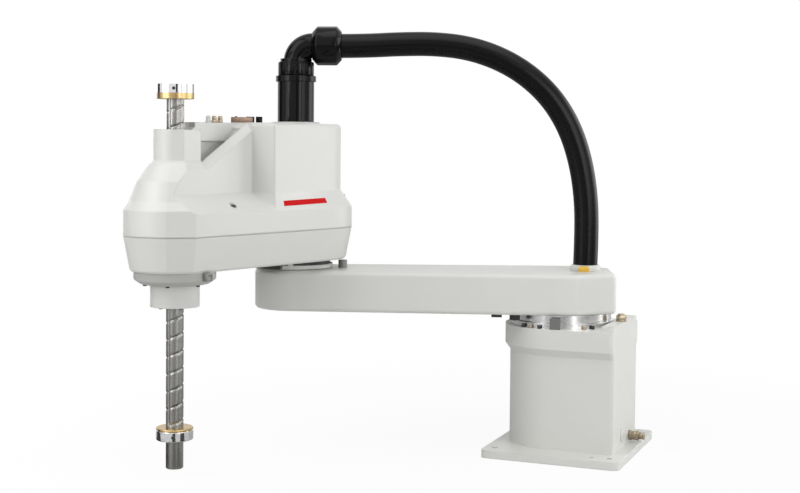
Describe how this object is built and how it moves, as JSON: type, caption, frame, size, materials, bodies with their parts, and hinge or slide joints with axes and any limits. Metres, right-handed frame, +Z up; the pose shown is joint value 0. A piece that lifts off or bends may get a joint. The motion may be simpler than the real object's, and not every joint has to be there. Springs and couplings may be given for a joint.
{
  "type": "scara robot",
  "caption": "Jointed-arm robot on a base plate: two level arms, an upright splined tool shaft that slides and turns, and an arched cable duct.",
  "frame": {"origin": "on the first joint's axis, at the underside of the base plate", "axes": "+Z up along the joint axes, +X towards the robot's own front, +Y towards its left side"},
  "size_m": [0.6562, 0.6143, 0.6658],
  "materials": {
    "casting": "light grey powder coat",
    "cover_plastic": "light grey moulded",
    "light_ring": "light grey",
    "machined_steel": "turned bright",
    "bearing_steel": "ground",
    "shaft_steel": "ground, oiled",
    "dark_steel": "black oxide",
    "chrome": "polished",
    "brass": "satin",
    "copper_brown": "dull",
    "aluminium": "machined",
    "black_plastic": "fine grain",
    "grey_plastic": "fine grain",
    "duct_black": "ribbed",
    "motor_black": "black paint",
    "seal_rubber": "matte"
  },
  "bodies": {
    "base": {"base_casting": "casting", "base_bottom_cover": "casting", "j1_reducer": "machined_steel", "j1_motor": "motor_black", "j1_index_block": "black_plastic", "j1_stop_bolt": "brass", "rear_brass_fitting": "brass", "rear_plug": "grey_plastic"},
    "arm_1": {"arm_1_casting": "casting", "arm_1_bottom_cover": "casting", "j1_output_flange": "machined_steel", "arm_1_stop_lugs": "dark_steel", "arm_1_index_block": "dark_steel", "j2_reducer": "light_ring", "j2_stop_pin": "dark_steel", "j2_zero_block": "light_ring", "duct_base": "grey_plastic", "duct_clamp": "brass", "duct": "duct_black", "duct_elbow": "black_plastic", "gland_nut": "black_plastic", "lock_ring": "black_plastic"},
    "arm_2": {"arm_2_casting": "casting", "cover_gasket": "seal_rubber", "arm_2_cover": "cover_plastic", "j2_output_flange": "dark_steel", "arm_2_stop_lug": "dark_steel", "j2_motor": "motor_black", "shaft_wiper": "seal_rubber", "pipe_dish": "cover_plastic", "duct_pipe": "black_plastic", "bearing_cover": "casting", "bearing_cover_block": "dark_steel", "spline_bearing": "bearing_steel", "j4_belt": "seal_rubber", "nut_bracket": "aluminium", "screw_bearing": "bearing_steel", "j3_belt": "seal_rubber", "j3_motor": "motor_black", "j4_motor": "motor_black", "air_fittings": "brass", "tool_connector": "copper_brown", "port_caps": "black_plastic"},
    "quill": {"spline_nut": "bearing_steel", "turning_hub": "light_ring", "j4_pulley": "aluminium"},
    "shaft": {"spline_shaft": "shaft_steel", "lower_collar": "chrome", "lower_collar_band": "brass", "upper_collar": "chrome", "upper_collar_band": "brass"},
    "screw_nut_drive": {"screw_nut": "bearing_steel", "j3_pulley": "aluminium"},
    "j3_motor_shaft": {"j3_motor_pulley": "aluminium"},
    "j4_motor_shaft": {"j4_motor_pulley": "aluminium"}
  },
  "joints": [
    {"name": "j1_base_turn", "type": "hinge", "parent": "base", "child": "arm_1", "pos_m": [0, 0, 0.2062], "axis": [0, 0, 1], "range_deg": [-152.1, 111.9]},
    {"name": "j2_elbow_turn", "type": "hinge", "parent": "arm_1", "child": "arm_2", "pos_m": [0.39911, 0.14605, 0.2892], "axis": [0, 0, 1], "range_deg": [-208.2, 91.8]},
    {"name": "j4_tool_turn", "type": "hinge", "parent": "arm_2", "child": "quill", "pos_m": [0.45488, 0.41534, 0.277], "axis": [0, 0, 1], "range_deg": [-360, 360]},
    {"name": "j3_tool_lift", "type": "slide", "parent": "quill", "child": "shaft", "axis": [0, 0, 1], "range_m": [-0.039, 0.161]},
    {"name": "screw_nut_spin", "type": "hinge", "parent": "quill", "child": "screw_nut_drive", "pos_m": [0.45488, 0.41534, 0.39], "axis": [0, 0, 1], "range_deg": [-2320, 565]},
    {"name": "j3_motor_spin", "type": "hinge", "parent": "arm_2", "child": "j3_motor_shaft", "pos_m": [0.42953, 0.29294, 0.432], "axis": [0, 0, 1], "range_deg": [-6190, 1505]},
    {"name": "j4_motor_spin", "type": "hinge", "parent": "arm_2", "child": "j4_motor_shaft", "pos_m": [0.44069, 0.3468, 0.336], "axis": [0, 0, 1], "range_deg": [-1025, 1025]}
  ],
  "couplings": [
    {"joint": "screw_nut_spin", "follows": "j3_tool_lift", "rad_per_m": -251.33},
    {"joint": "j3_motor_spin", "follows": "j3_tool_lift", "rad_per_m": -670.21},
    {"joint": "j4_motor_spin", "follows": "j4_tool_turn", "ratio": 2.8333}
  ]
}
